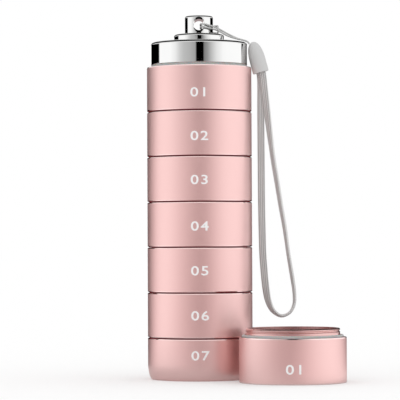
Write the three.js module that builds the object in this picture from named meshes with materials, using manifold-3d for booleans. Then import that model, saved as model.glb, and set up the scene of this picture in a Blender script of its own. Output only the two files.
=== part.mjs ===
// Stackable pill organizer: seven aluminium cups that screw onto each other, a chromed cap with a knob
// that has an eye, a wrist lanyard hitched to it, and one more cup of the set that stands by itself.
// Millimetres, +Z up. The origin is the centre of the tower's flat underside, and the front is towards -Y.

import * as THREE from 'three';
import { mergeVertices } from 'three/addons/utils/BufferGeometryUtils.js';
import Module from 'manifold-3d';

// Driving dimensions of the stack
const stackedCups = 7;
const cupRadius = 18.2;
const cupWallHeight = 15.35;
const baseWallHeight = 14.35;
const seamGap = 0.3;

// Cup walls, from the outside in
const lipThickness = 0.7;
const sealSideGap = 0.3;
const sealWidth = 1.05;
const sealNeckGap = 0.15;
const neckWall = 0.9;
const threadClearance = 0.25;

// Cup heights and edges
const lipHeight = 0.55;
const sealRecessDepth = 0.5;
const neckHeight = 3;
const neckTopClearance = 0.4;
const neckBevel = 0.3;
const edgeBevel = 0.3;
const floorThickness = 1;
const baseFloorThickness = 1.5;
const innerFillet = 0.6;
const baseRoundHeight = 5.8;
const baseRoundDepth = 1.6;

// Cap shell
const capHeight = 7.9;
const capSkirtWall = 0.5;
const capUpperWall = 1.55;
const capTopThickness = 1;
const capEdgeRound = 1;
const capFootBevel = 0.2;

// Collar, knob and the eye through the knob
const collarRadius = 8.7;
const collarHeight = 2.8;
const collarEdgeRound = 0.8;
const knobRadius = 4.87;
const knobHeight = 6.45;
const knobEdgeRound = 0.7;
const knobFootBevel = 0.2;
const stemRadius = 2.6;
const stemClearance = 0.1;
const stemSetback = 0.2;
const eyeHeight = 3.2;
const eyeRadius = 1.9;
const eyeFlareDepth = 0.6;
const eyeFlareWidth = 0.6;

// Screw and washer that hold the knob
const screwRadius = 1.5;
const screwLength = 5;
const screwHeadRadius = 2.75;
const screwHeadHeight = 1.6;
const screwHeadRound = 0.4;
const screwKeyRadius = 1.15;
const screwKeyDepth = 0.8;
const screwBoreClearance = 0.1;
const screwBoreRoom = 0.3;
const screwHoleClearance = 0.3;
const washerRadius = 3.5;
const washerThickness = 0.5;
const washerClearance = 0.15;

// Lanyard sleeve, string and strap
const ferruleLength = 10.9;
const ferruleMouthRadius = 2.8;
const ferruleNoseLength = 6.9;
const ferruleWall = 0.5;
const ferrulePocketDepth = 2.5;
const ferruleMouthRound = 0.25;
const ferruleFlatShare = 0.8;
const ferruleTilt = THREE.MathUtils.degToRad(-15);
const ferruleMouthPlace = new THREE.Vector3(21.5, -1.65, 106.44);
const stringDiameter = 0.55;
const strapWidth = 2.5;
const strapThickness = 0.8;
const strapCorner = 0.25;

// Where the loose cup stands: its gap to the tower, and its direction round the tower from +X
const looseGap = 2.6;
const looseDirection = THREE.MathUtils.degToRad(-36.6);

// How finely round shapes are cut
const roundSegments = 32;
const smallSegments = 20;
const arcSteps = 3;
const longArcSteps = 5;
const stringSteps = 68;
const strapSteps = 54;
const cutOverrun = 1;

// Sizes that follow from the driving dimensions
const cupPitch = cupWallHeight + seamGap;
const lipInnerRadius = cupRadius - lipThickness;
const sealOuterRadius = lipInnerRadius - sealSideGap;
const sealInnerRadius = sealOuterRadius - sealWidth;
const neckRadius = sealInnerRadius - sealNeckGap;
const boreRadius = neckRadius - neckWall;
const socketRadius = neckRadius + threadClearance;
const sealAboveShoulder = seamGap + lipHeight;
const sealThickness = sealRecessDepth + sealAboveShoulder;
const socketDepth = neckHeight - seamGap + neckTopClearance;
const stackShoulder = baseWallHeight + (stackedCups - 1) * cupPitch;
const capFoot = stackShoulder + sealAboveShoulder;
const capTop = capFoot + capHeight;
const capRadius = socketRadius + capSkirtWall;
const collarTop = capTop + collarHeight;

// The string's route, one strand: from the sleeve to the knob, in through the bight, through the eye, back
// round the right side as the bight, through the eye again and back to the sleeve
const stringRoute = [
  [17.5, -1.3, 116.4], [17.0, -1.3, 117.08], [16.2, -1.3, 117.5], [13.15, -1.34, 118.48],
  [10.05, -1.54, 119.95], [7.3, -2.05, 121.42], [5.1, -3.2, 122.3], [3.1, -4.9, 122.85],
  [2.1, -5.35, 123.05], [1.15, -4.95, 123.15], [0.65, -3.2, 123.2], [0.6, 0, 123.2],
  [0.65, 3.2, 123.2], [1.15, 4.95, 123.2], [2.1, 5.4, 123.15], [4.3, 4.0, 123.05],
  [5.85, 0.9, 122.85], [6.55, -2.3, 122.6], [6.6, -3.15, 122.2], [6.6, -3.5, 121.4],
  [6.6, -3.15, 120.6], [6.55, -2.3, 120.24], [5.85, 0.9, 120.4], [4.3, 4.0, 121.0],
  [2.1, 5.4, 121.9], [1.15, 4.95, 122.12], [0.65, 3.2, 122.2], [0.6, 0, 122.2],
  [0.65, -3.2, 122.2], [1.15, -4.95, 122.12], [2.1, -5.35, 121.97], [3.1, -4.9, 121.8],
  [5.1, -3.2, 121.48], [7.3, -2.15, 120.7], [10.05, -1.76, 119.22], [13.15, -1.96, 118.2],
  [16.2, -2.0, 117.5], [17.0, -2.0, 117.08], [17.5, -2.0, 116.4],
];

// The strap's route: down from the sleeve, round the bottom of the loop and back up
const strapRoute = [
  [20.57, -1.1, 108.36], [21.12, -1.1, 106.34], [21.4, -1.1, 104.3], [21.45, -1.1, 101],
  [21.4, -1.1, 95.5], [21.4, -1.1, 86.6], [21.45, -1.1, 74], [21.5, -1.1, 62.2],
  [21.65, -1.1, 52.1], [21.85, -1.15, 43.6], [22.16, -1.2, 38.9], [22.54, -1.25, 34.3],
  [23.1, -1.35, 29.8], [23.8, -1.45, 26.6], [25.3, -1.55, 23.6], [28.1, -1.7, 21.8],
  [31.1, -1.85, 22.9], [32.6, -1.95, 25.8], [32.75, -2, 29.4], [32.15, -2.05, 34.3],
  [31.4, -2.1, 38.9], [30.66, -2.15, 43.6], [29.5, -2.2, 52.1], [28.15, -2.2, 60.1],
  [26.9, -2.2, 68.1], [25.6, -2.2, 76.1], [24.35, -2.2, 86], [23.25, -2.2, 95.5],
  [22.6, -2.2, 101], [22.25, -2.2, 104.3], [21.89, -2.2, 106.54], [21.34, -2.2, 108.57],
];

// Materials
const pinkAnodised = new THREE.MeshStandardMaterial({ color: 0xe2b1ae, metalness: 0.9, roughness: 0.42 });
const chrome = new THREE.MeshStandardMaterial({ color: 0xdadada, metalness: 1, roughness: 0.06 });
const whiteSilicone = new THREE.MeshStandardMaterial({ color: 0xe9e6e2, metalness: 0, roughness: 0.55 });
const zincSteel = new THREE.MeshStandardMaterial({ color: 0xb4b6b8, metalness: 1, roughness: 0.35 });
const greyRubber = new THREE.MeshStandardMaterial({ color: 0xb9b9b9, metalness: 0, roughness: 0.7 });
const greyThread = new THREE.MeshStandardMaterial({ color: 0xa6a6a6, metalness: 0, roughness: 0.85 });
const greyWebbing = new THREE.MeshStandardMaterial({ color: 0xadadad, metalness: 0, roughness: 0.9 });

const wasm = await Module();
wasm.setup();

// Geometry helpers

// Turns an outline of [radius, height] points round the Z axis.
function lathe(outline, segments = roundSegments) {
  const points = outline.map(([radius, height]) => new THREE.Vector2(radius, height));
  return new THREE.LatheGeometry(points, segments).rotateX(Math.PI / 2);
}

// Turns an outline that doesn't reach the axis, closed on itself.
function latheRing(outline, segments = roundSegments) {
  return lathe([...outline, outline[0]], segments);
}

// Points of an elliptical quarter arc about a centre, from one angle to another.
function arc(centre, radiusAcross, radiusUp, fromAngle, toAngle, steps = arcSteps) {
  return Array.from({ length: steps + 1 }, (_, step) => {
    const angle = fromAngle + ((toAngle - fromAngle) * step) / steps;
    return [centre[0] + radiusAcross * Math.cos(angle), centre[1] + radiusUp * Math.sin(angle)];
  });
}

// A closed geometry as a solid that can be joined and cut.
function solidOf(geometry) {
  const bare = geometry.clone();
  bare.deleteAttribute('normal');
  bare.deleteAttribute('uv');
  const merged = mergeVertices(bare);
  const corners = merged.index.array;
  const triVerts = [];
  for (let first = 0; first < corners.length; first += 3) {
    const [a, b, c] = corners.slice(first, first + 3);
    if (a !== b && b !== c && c !== a) {
      triVerts.push(a, b, c);
    }
  }
  return new wasm.Manifold(new wasm.Mesh({
    numProp: 3,
    vertProperties: merged.attributes.position.array,
    triVerts: new Uint32Array(triVerts),
  }));
}

function geometryOf(solid) {
  const mesh = solid.getMesh();
  const geometry = new THREE.BufferGeometry();
  geometry.setAttribute('position', new THREE.BufferAttribute(mesh.vertProperties, 3));
  geometry.setIndex(new THREE.BufferAttribute(mesh.triVerts, 1));
  geometry.computeVertexNormals();
  return geometry;
}

function piece(name, geometry, material, parent, place = [0, 0, 0]) {
  const mesh = new THREE.Mesh(geometry, material);
  mesh.name = name;
  mesh.position.set(...place);
  parent.add(mesh);
  return mesh;
}

// Cups

// From the top of the outer wall over the shoulder, the seal's recess and the neck to the floor's middle.
function cupTopOutline(shoulder, floorTop) {
  const neckTop = shoulder + neckHeight;
  const recessFloor = shoulder - sealRecessDepth;
  return [
    [cupRadius, shoulder - edgeBevel],
    [cupRadius - edgeBevel * (lipThickness / (lipThickness + edgeBevel)), shoulder],
    [lipInnerRadius, shoulder],
    [lipInnerRadius, recessFloor],
    [neckRadius, recessFloor],
    [neckRadius, neckTop - neckBevel],
    [neckRadius - neckBevel, neckTop],
    [boreRadius, neckTop],
    [boreRadius, floorTop + innerFillet],
    [boreRadius - innerFillet, floorTop],
    [0, floorTop],
  ];
}

// A cup of the stack: a socket for the neck below, with a lip round that neck's seal.
function cup() {
  return lathe([
    [0, socketDepth],
    [socketRadius, socketDepth],
    [socketRadius, lipHeight],
    [lipInnerRadius, lipHeight],
    [lipInnerRadius, 0],
    [cupRadius - edgeBevel * (lipThickness / (lipThickness + edgeBevel)), 0],
    [cupRadius, edgeBevel],
    ...cupTopOutline(cupWallHeight, socketDepth + floorThickness),
  ]);
}

// The lowest cup: a closed flat bottom with a rounded foot.
function baseCup() {
  const footArc = arc(
    [cupRadius - baseRoundDepth, baseRoundHeight], baseRoundDepth, baseRoundHeight, -Math.PI / 2, 0, longArcSteps,
  );
  return lathe([[0, 0], ...footArc, ...cupTopOutline(baseWallHeight, baseFloorThickness)]);
}

// A flat silicone ring round the foot of a neck.
function sealRing() {
  return latheRing([
    [sealInnerRadius, 0],
    [sealOuterRadius, 0],
    [sealOuterRadius, sealThickness],
    [sealInnerRadius, sealThickness],
  ]);
}

// Cap

function capShell() {
  const skirtRoom = neckHeight - sealAboveShoulder + neckTopClearance;
  const ceiling = capHeight - capTopThickness;
  const holeRadius = screwRadius + screwHoleClearance;
  const topArc = arc([capRadius - capEdgeRound, capHeight - capEdgeRound], capEdgeRound, capEdgeRound, 0, Math.PI / 2);
  return latheRing([
    [holeRadius, ceiling],
    [capRadius - capUpperWall, ceiling],
    [capRadius - capUpperWall, skirtRoom],
    [socketRadius, skirtRoom],
    [socketRadius, 0],
    [capRadius - capFootBevel, 0],
    [capRadius, capFootBevel],
    ...topArc,
    [holeRadius, capHeight],
  ]);
}

function capCollar() {
  const boreOfCollar = stemRadius + stemClearance;
  const topArc = arc(
    [collarRadius - collarEdgeRound, collarHeight - collarEdgeRound],
    collarEdgeRound, collarEdgeRound, 0, Math.PI / 2,
  );
  return latheRing([[boreOfCollar, 0], [collarRadius, 0], ...topArc, [boreOfCollar, collarHeight]]);
}

// The knob's stem goes down through the collar and takes the screw, and the eye crosses the knob.
function eyeKnob() {
  const stemEnd = stemSetback - collarHeight;
  const screwTip = screwLength - washerThickness - capTopThickness - collarHeight;
  const boreEnd = screwTip + screwBoreRoom;
  const screwBoreRadius = screwRadius + screwBoreClearance;
  const topArc = arc(
    [knobRadius - knobEdgeRound, knobHeight - knobEdgeRound], knobEdgeRound, knobEdgeRound, 0, Math.PI / 2,
  );
  const body = lathe([
    [0, boreEnd],
    [screwBoreRadius, boreEnd],
    [screwBoreRadius, stemEnd],
    [stemRadius, stemEnd],
    [stemRadius, 0],
    [knobRadius - knobFootBevel, 0],
    [knobRadius, knobFootBevel],
    ...topArc,
    [0, knobHeight],
  ], smallSegments);
  const flareSlope = eyeFlareWidth / eyeFlareDepth;
  const flareStart = knobRadius - eyeFlareDepth;
  const cutEnd = knobRadius + cutOverrun;
  const cutEndRadius = eyeRadius + flareSlope * (cutEnd - flareStart);
  const eye = lathe([
    [0, -cutEnd],
    [cutEndRadius, -cutEnd],
    [eyeRadius, -flareStart],
    [eyeRadius, flareStart],
    [cutEndRadius, cutEnd],
    [0, cutEnd],
  ], smallSegments).rotateX(Math.PI / 2).translate(0, 0, eyeHeight);
  return geometryOf(solidOf(body).subtract(solidOf(eye)));
}

// A pan-head screw with a hexagon socket, its head down and its shank up from z = 0.
function knobScrew() {
  const headArc = arc(
    [screwHeadRadius - screwHeadRound, screwHeadRound - screwHeadHeight],
    screwHeadRound, screwHeadRound, -Math.PI / 2, 0,
  );
  const body = lathe([
    [0, -screwHeadHeight], ...headArc, [screwHeadRadius, 0],
    [screwRadius, 0], [screwRadius, screwLength], [0, screwLength],
  ], smallSegments);
  const keyHeight = screwKeyDepth + cutOverrun;
  const key = new THREE.CylinderGeometry(screwKeyRadius, screwKeyRadius, keyHeight, 6)
    .rotateX(Math.PI / 2)
    .translate(0, 0, screwKeyDepth - screwHeadHeight - keyHeight / 2);
  return geometryOf(solidOf(body).subtract(solidOf(key)));
}

function knobWasher() {
  const hole = screwRadius + washerClearance;
  return latheRing([[hole, 0], [washerRadius, 0], [washerRadius, washerThickness], [hole, washerThickness]], smallSegments);
}

// Lanyard

// A soft sleeve, flattened front to back: a long round nose at the string, and a pocket for the strap's ends.
function lanyardFerrule() {
  const pocketRadius = ferruleMouthRadius - ferruleWall;
  const nose = arc(
    [0, ferruleLength - ferruleNoseLength], ferruleMouthRadius, ferruleNoseLength, 0, Math.PI / 2, longArcSteps,
  );
  return lathe([
    [0, ferrulePocketDepth],
    [pocketRadius, ferrulePocketDepth],
    [pocketRadius, 0],
    [ferruleMouthRadius - ferruleMouthRound, 0],
    [ferruleMouthRadius, ferruleMouthRound],
    ...nose,
  ], smallSegments).scale(1, ferruleFlatShare, 1);
}

function routeCurve(route) {
  return new THREE.CatmullRomCurve3(route.map((point) => new THREE.Vector3(...point)));
}

function lanyardString() {
  const section = new THREE.Shape().absarc(0, 0, stringDiameter / 2, 0, 2 * Math.PI);
  return new THREE.ExtrudeGeometry(section, {
    steps: stringSteps,
    curveSegments: 4,
    extrudePath: routeCurve(stringRoute),
  });
}

function lanyardStrap() {
  const halfThickness = strapThickness / 2;
  const halfWidth = strapWidth / 2;
  const section = new THREE.Shape([
    [halfThickness, strapCorner - halfWidth],
    [halfThickness, halfWidth - strapCorner],
    [halfThickness - strapCorner, halfWidth],
    [strapCorner - halfThickness, halfWidth],
    [-halfThickness, halfWidth - strapCorner],
    [-halfThickness, strapCorner - halfWidth],
    [strapCorner - halfThickness, -halfWidth],
    [halfThickness - strapCorner, -halfWidth],
  ].map(([across, along]) => new THREE.Vector2(across, along)));
  return new THREE.ExtrudeGeometry(section, { steps: strapSteps, extrudePath: routeCurve(strapRoute) });
}

// Assembly

const organizer = new THREE.Group();

// The tower, from the base up, with a seal on every neck
for (let level = 0; level < stackedCups; level += 1) {
  const number = stackedCups - level;
  const foot = level === 0 ? 0 : baseWallHeight + seamGap + (level - 1) * cupPitch;
  const shoulder = baseWallHeight + level * cupPitch;
  piece(`cup_${number}`, level === 0 ? baseCup() : cup(), pinkAnodised, organizer, [0, 0, foot]);
  piece(`seal_${number}`, sealRing(), whiteSilicone, organizer, [0, 0, shoulder - sealRecessDepth]);
}

// The cup that stands by itself
const looseDistance = 2 * cupRadius + looseGap;
const looseGroup = new THREE.Group();
looseGroup.position.set(looseDistance * Math.cos(looseDirection), looseDistance * Math.sin(looseDirection), 0);
organizer.add(looseGroup);
piece('loose_cup', cup(), pinkAnodised, looseGroup);
piece('loose_seal', sealRing(), whiteSilicone, looseGroup, [0, 0, cupWallHeight - sealRecessDepth]);

// The cap with its collar, knob and fastening
const screwSeat = capTop - capTopThickness - washerThickness;
piece('cap_shell', capShell(), chrome, organizer, [0, 0, capFoot]);
piece('cap_collar', capCollar(), chrome, organizer, [0, 0, capTop]);
piece('eye_knob', eyeKnob(), chrome, organizer, [0, 0, collarTop]);
piece('knob_screw', knobScrew(), zincSteel, organizer, [0, 0, screwSeat]);
piece('knob_washer', knobWasher(), zincSteel, organizer, [0, 0, screwSeat]);

// The lanyard
const ferruleMesh = piece('lanyard_ferrule', lanyardFerrule(), greyRubber, organizer);
ferruleMesh.position.copy(ferruleMouthPlace);
ferruleMesh.rotation.y = ferruleTilt;
piece('lanyard_string', lanyardString(), greyThread, organizer);
piece('lanyard_strap', lanyardStrap(), greyWebbing, organizer);

export default organizer;
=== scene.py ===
# Looks of the stackable pill organizer: fine meshes and materials on the fixed frame, a light tent and the
# camera. Lengths are in metres, and outlines are written in millimetres and scaled by MM.

import math

import bmesh
import bpy
import numpy as np
from mathutils import Matrix, Vector


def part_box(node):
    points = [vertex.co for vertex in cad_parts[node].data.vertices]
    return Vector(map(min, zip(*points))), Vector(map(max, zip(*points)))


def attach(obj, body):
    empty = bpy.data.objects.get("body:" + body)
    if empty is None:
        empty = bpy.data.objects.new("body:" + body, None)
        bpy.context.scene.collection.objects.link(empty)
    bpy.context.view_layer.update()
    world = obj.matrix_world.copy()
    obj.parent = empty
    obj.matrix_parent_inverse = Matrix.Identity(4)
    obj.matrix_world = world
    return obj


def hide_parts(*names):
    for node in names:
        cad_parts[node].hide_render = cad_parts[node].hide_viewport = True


MM = 0.001

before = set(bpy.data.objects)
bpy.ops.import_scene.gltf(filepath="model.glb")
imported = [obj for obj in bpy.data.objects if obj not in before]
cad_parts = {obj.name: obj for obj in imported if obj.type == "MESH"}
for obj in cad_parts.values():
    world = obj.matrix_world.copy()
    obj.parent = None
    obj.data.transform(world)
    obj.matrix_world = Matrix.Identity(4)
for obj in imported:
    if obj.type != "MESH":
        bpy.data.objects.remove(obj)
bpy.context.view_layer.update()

# Camera, as measured from the photograph's 400 pixel frame
PHOTO_PIXELS = 400
FOCAL_PIXELS = 2412
HORIZON_PIXEL = 241
AXIS_PIXEL = 199.7
CAMERA_ROLL = math.radians(-0.25)
CAMERA_DISTANCE = 0.84
CAMERA_HEIGHT = 0.0479
CAMERA_SENSOR = 36
CAMERA_CLIP = (0.01, 50)

# Sizes that the frame gives, in millimetres
CUP_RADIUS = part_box("cup_1")[1].x / MM
CAP_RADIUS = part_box("cap_shell")[1].x / MM
COLLAR_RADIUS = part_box("cap_collar")[1].x / MM
KNOB_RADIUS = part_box("eye_knob")[1].x / MM
SEAL_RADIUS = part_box("seal_1")[1].x / MM

# Cups, in millimetres. The seam gap lies between two cups that are screwed together. A lead is a stretch
# that only gives the next corner of an outline its direction.
CUP_COUNT = 7
NECK_HEIGHT = 3.0
SEAM_GAP = (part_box("cup_1")[0].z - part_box("cup_2")[1].z) / MM + NECK_HEIGHT
SEAM_CLEARANCE = 0.04
SEAM_WIDENING = 0.1
EDGE_BEVEL = 0.36
EDGE_ROUND = 0.04
BEVEL_IN = 0.08
BEVEL_RADIUS = CUP_RADIUS - BEVEL_IN
LIP_THICKNESS = 0.7
LIP_RADIUS = CUP_RADIUS - LIP_THICKNESS
LIP_HEIGHT = 0.55
WALL_LEAD = 2.0
NECK_RADIUS = 16.0
NECK_BEVEL = 0.3
NECK_LEAD = 0.02
BORE_RADIUS = 15.1
BORE_ROUND = 0.9
SOCKET_RADIUS = 16.25
SOCKET_DEPTH = 3.1
SOCKET_ROUND = 0.12
SOCKET_LEAD = 0.3
FLOOR_THICKNESS = 1.0
BASE_FLOOR = 1.5
BASE_ROUND_UP = 5.8
BASE_ROUND_IN = 1.6
BASE_ROUND_STEPS = 24
BASE_RIM = 0.4

# The slots of a cup's materials. The last slot is painted shade: a dark rose on the faces inside the seams
# and round the seals, where shade falls.
PINK, CUT, TURNED, PAINTED_SHADE = range(4)

# Seals and their recesses, in millimetres
SEAL_RECESS = 0.5
SEAL_RECESS_ROUND = 0.08
SEAL_WIDTH = 1.05
SEAL_CLEARANCE = 0.02
SEAL_INNER_ROUND = 0.2
SEAL_FREE_ROUND = 0.35
SEAL_HELD_ROUND = 0.3
SEAL_SQUEEZED = 16.62
SEAL_SQUEEZED_ROUND = 0.1
SEAL_STEP_BELOW = 0.1
SEAL_STEP_ABOVE = 0.05

# Cap and collar, in millimetres from their feet
CAP_HEIGHT = 7.9
CAP_CEILING = 6.9
CAP_CEILING_ROUND = 0.5
CAP_ROOM_RADIUS = 15.2
CAP_SOCKET_DEPTH = 2.55
CAP_BORE_RADIUS = 1.8
CAP_FOOT_ROUND = 0.2
CAP_TOP_ROUND = 1.0
COLLAR_HEIGHT = 2.8
COLLAR_BORE_RADIUS = 2.7
COLLAR_FOOT_ROUND = 0.12
COLLAR_TOP_ROUND = 0.8
CHROME_ROUND = 0.1

# Knob and its eye, in millimetres from the collar's top
KNOB_BORE_TOP = 1.0
KNOB_BORE_RADIUS = 1.6
KNOB_STEM_RADIUS = 2.6
KNOB_STEM_FOOT = -2.6
KNOB_FOOT_ROUND = 0.2
KNOB_TOP_ROUND = 0.7
EYE_HEIGHT = 3.2
EYE_RADIUS = 1.95
EYE_FLARE = 0.52
EYE_FLARE_SHARE = 1.45
EYE_OVERRUN = 1.0

# Thread, in millimetres
THREAD_PITCH = 1.0
THREAD_ROOT = 15.68
THREAD_SOCKET_CREST = 15.84
THREAD_START = 1.3
THREAD_RUN_IN = 0.15
THREAD_RUN_OUT = 0.25
THREAD_FADE = 0.25
THREAD_ROWS = 30

# Numbers printed on the cups: how far each stands above the middle of its wall, in millimetres
NUMBER_RISES = {1: -1.7, 2: -0.95, 3: -0.3, 4: -0.5, 5: -0.1, 6: 0.2, 7: 1.75}
LOOSE_NUMBER_RISE = -2.4
NUMBER_HEIGHT = 3.25
NUMBER_BOLD = 0.055
NUMBER_WIDTH_SHARE = 1.3
NUMBER_DEPTH = 0.03
NUMBER_SINK = 0.02
NUMBER_SPACING = 1.18
NUMBER_STRIP = 0.3
NUMBER_CURVE_STEPS = 6
NUMBER_WELD = 1e-5
FONT_CAP_SHARE = 0.729

# Fineness of the meshes. HOLD is the farthest, in millimetres, that a rounding reaches past its arc.
SEGMENTS = 160
KNOB_SEGMENTS = 240
SLEEVE_SEGMENTS = 72
ARC_STEPS = 5
CHROME_STEPS = 10
SPLINE_STEPS = 14
REACH_SHARE = 0.49
HOLD = 0.04
HOLD_SHARE = 0.2
SMOOTH_ANGLE = math.radians(32)
CORD_SMOOTH_ANGLE = math.radians(60)


# Mesh helpers


def rounded(outline, steps=ARC_STEPS):
    """An outline of (radius, height, round, slot) corners as (radius, height, slot) points, rounded by arcs.

    A slot belongs to the stretch that starts at its point. An arc takes the slot of the stretch before it.
    A point close to each end of an arc keeps the shading of the straight stretch beside it flat.
    """
    points = []
    count = len(outline)
    for i, corner in enumerate(outline):
        here = np.array(corner[:2], float)
        size = corner[2] if len(corner) > 2 else 0
        slot = corner[3] if len(corner) > 3 else 0
        if not size or i in (0, count - 1):
            points.append((here[0], here[1], slot))
            continue
        before = np.array(outline[i - 1][:2], float) - here
        after = np.array(outline[i + 1][:2], float) - here
        long_before, long_after = np.linalg.norm(before), np.linalg.norm(after)
        before, after = before / long_before, after / long_after
        half = math.acos(max(-1.0, min(1.0, float(before @ after)))) / 2
        reach = min(size / math.tan(half), REACH_SHARE * long_before, REACH_SHARE * long_after)
        radius = reach * math.tan(half)
        middle = before + after
        centre = here + middle / np.linalg.norm(middle) * (radius / math.sin(half))
        start, end = here + before * reach - centre, here + after * reach - centre
        from_angle = math.atan2(start[1], start[0])
        turn = math.atan2(end[1], end[0]) - from_angle
        turn = (turn + math.pi) % (2 * math.pi) - math.pi
        arc_slot = points[-1][2] if points else slot
        room = (1 - REACH_SHARE) * long_before - reach
        hold = here + before * (reach + min(HOLD, HOLD_SHARE * room))
        points.append((hold[0], hold[1], arc_slot))
        for k in range(steps + 1):
            angle = from_angle + turn * k / steps
            edge = centre + radius * np.array([math.cos(angle), math.sin(angle)])
            points.append((edge[0], edge[1], slot if k == steps else arc_slot))
        room = (1 - REACH_SHARE) * long_after - reach
        hold = here + after * (reach + min(HOLD, HOLD_SHARE * room))
        points.append((hold[0], hold[1], slot))
    return points


def linked(name, data):
    """An object with this data, linked into the scene."""
    made = bpy.data.objects.new(name, data)
    bpy.context.scene.collection.objects.link(made)
    return made


def mesh_object(name, vertices, faces, face_slots, materials, smooth_angle=SMOOTH_ANGLE):
    """A smooth shaded mesh with one material slot for each face, sharp past the angle."""
    mesh = bpy.data.meshes.new(name)
    mesh.from_pydata([tuple(v) for v in vertices], [], faces)
    for material in materials:
        mesh.materials.append(material)
    mesh.polygons.foreach_set("material_index", np.array(face_slots, np.int32))
    mesh.polygons.foreach_set("use_smooth", np.ones(len(faces), bool))
    mesh.update()
    mesh.set_sharp_from_angle(angle=smooth_angle)
    return linked(name, mesh)


def revolved(name, rows, materials, place=(0, 0, 0), segments=SEGMENTS, closed=False, squeeze=1.0):
    """Turns rows of (radius, height, slot) round the Z axis. A radius may be a function of the angle."""
    angles = np.arange(segments) * (2 * math.pi / segments)
    vertices, first, single = [], [], []
    for radius, height, _ in rows:
        first.append(len(vertices))
        single.append(radius == 0)
        if radius == 0:
            vertices.append((0.0, 0.0, height))
            continue
        reach = radius(angles) if callable(radius) else radius
        x = reach * np.cos(angles)
        y = reach * np.sin(angles) * squeeze
        vertices.extend(np.stack([x, y, np.full(segments, height)], 1))
    faces, slots = [], []
    pairs = [(i, i + 1) for i in range(len(rows) - 1)]
    if closed:
        pairs.append((len(rows) - 1, 0))
    for i, j in pairs:
        low, high = first[i], first[j]
        for k in range(segments):
            n = (k + 1) % segments
            if single[i]:
                faces.append((low, high + n, high + k))
            elif single[j]:
                faces.append((low + k, low + n, high))
            else:
                faces.append((low + k, low + n, high + n, high + k))
            slots.append(rows[i][2])
    points = np.array(vertices, float) * MM + np.array(place, float)
    return mesh_object(name, points, faces, slots, materials)


def thread_wave(angles, height, phase):
    """0 at the root and 1 at the crest of a right-hand thread, at each angle."""
    turn = (height - phase) / THREAD_PITCH - angles / (2 * math.pi)
    wave = 0.5 + 0.5 * np.cos(2 * math.pi * turn)
    return wave * wave * (3 - 2 * wave)


def threaded(low_radius, high_radius, from_height, to_height, phase, slot, rest_radius):
    """Rows of a threaded stretch, between rest_radius at both ends."""
    rows = []
    for k in range(THREAD_ROWS + 1):
        height = from_height + (to_height - from_height) * k / THREAD_ROWS
        depth = min(abs(height - from_height), abs(to_height - height)) / THREAD_FADE
        share = max(0.0, min(1.0, depth))

        def radius(angles, height=height, share=share):
            cut = low_radius + (high_radius - low_radius) * thread_wave(angles, height, phase)
            return rest_radius + (cut - rest_radius) * share

        rows.append((radius, height, slot))
    return rows


def blended(first, second, start, end, at):
    """The point between two that lies as at does between start and end."""
    share = (at - start) / (end - start)
    return first * (1 - share) + second * share


def spline(route):
    """A centripetal Catmull-Rom curve through the route's points, as an array of points."""
    points = np.array(route, float)
    points = np.vstack([2 * points[0] - points[1], points, 2 * points[-1] - points[-2]])
    made = []
    for i in range(1, len(points) - 2):
        near = points[i - 1:i + 3]
        knots = [0.0]
        for k in range(3):
            knots.append(knots[-1] + np.linalg.norm(near[k + 1] - near[k]) ** 0.5)
        for at in np.linspace(knots[1], knots[2], SPLINE_STEPS, endpoint=False):
            once = [blended(near[k], near[k + 1], knots[k], knots[k + 1], at) for k in range(3)]
            twice = [blended(once[k], once[k + 1], knots[k], knots[k + 2], at) for k in range(2)]
            made.append(blended(twice[0], twice[1], knots[1], knots[2], at))
    made.append(points[-2])
    return np.array(made)


def spaced(points, step):
    """The same line with points a steady step apart, and its length."""
    along = np.concatenate([[0], np.cumsum(np.linalg.norm(np.diff(points, axis=0), axis=1))])
    count = max(2, round(along[-1] / step) + 1)
    at = np.linspace(0, along[-1], count)
    return np.stack([np.interp(at, along, points[:, k]) for k in range(3)], 1), float(along[-1])


def swept(name, line, section, materials, first_side, around):
    """A closed tube along a line.

    section(share, along) gives the (side, up) points at a length along the line, and a share of the whole.
    The UV map holds the value of around at each point of the section, and the length along in millimetres.
    """
    tangents = np.gradient(line, axis=0)
    tangents /= np.linalg.norm(tangents, axis=1)[:, None]
    side = np.array(first_side, float)
    along = np.concatenate([[0], np.cumsum(np.linalg.norm(np.diff(line, axis=0), axis=1))])
    vertices, count = [], 0
    for i, (point, tangent) in enumerate(zip(line, tangents)):
        side = side - tangent * (side @ tangent)
        side /= np.linalg.norm(side)
        up = np.cross(tangent, side)
        ring = section(along[i] / along[-1], along[i])
        count = len(ring)
        vertices.extend(point + ring[:, :1] * side + ring[:, 1:] * up)
    faces = []
    for i in range(len(line) - 1):
        for k in range(count):
            n = (k + 1) % count
            faces.append((i * count + k, i * count + n, (i + 1) * count + n, (i + 1) * count + k))
    last = (len(line) - 1) * count
    faces.append(tuple(reversed(range(count))))
    faces.append(tuple(last + k for k in range(count)))
    made = mesh_object(name, np.array(vertices), faces, [0] * len(faces), materials, CORD_SMOOTH_ANGLE)
    corners = np.empty(len(made.data.loops), np.int32)
    made.data.loops.foreach_get("vertex_index", corners)
    weave = np.stack([np.array(around)[corners % count], along[corners // count] / MM], 1)
    made.data.uv_layers.new(name="weave").data.foreach_set("uv", weave.ravel())
    return made


# Materials


def math_node(tree, operation, *values):
    """The output of a math node, whose inputs are numbers or outputs of other nodes."""
    node = tree.nodes.new("ShaderNodeMath")
    node.operation = operation
    for slot, value in zip(node.inputs, values):
        if isinstance(value, (int, float)):
            slot.default_value = value
        else:
            tree.links.new(value, slot)
    return node.outputs["Value"]


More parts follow.
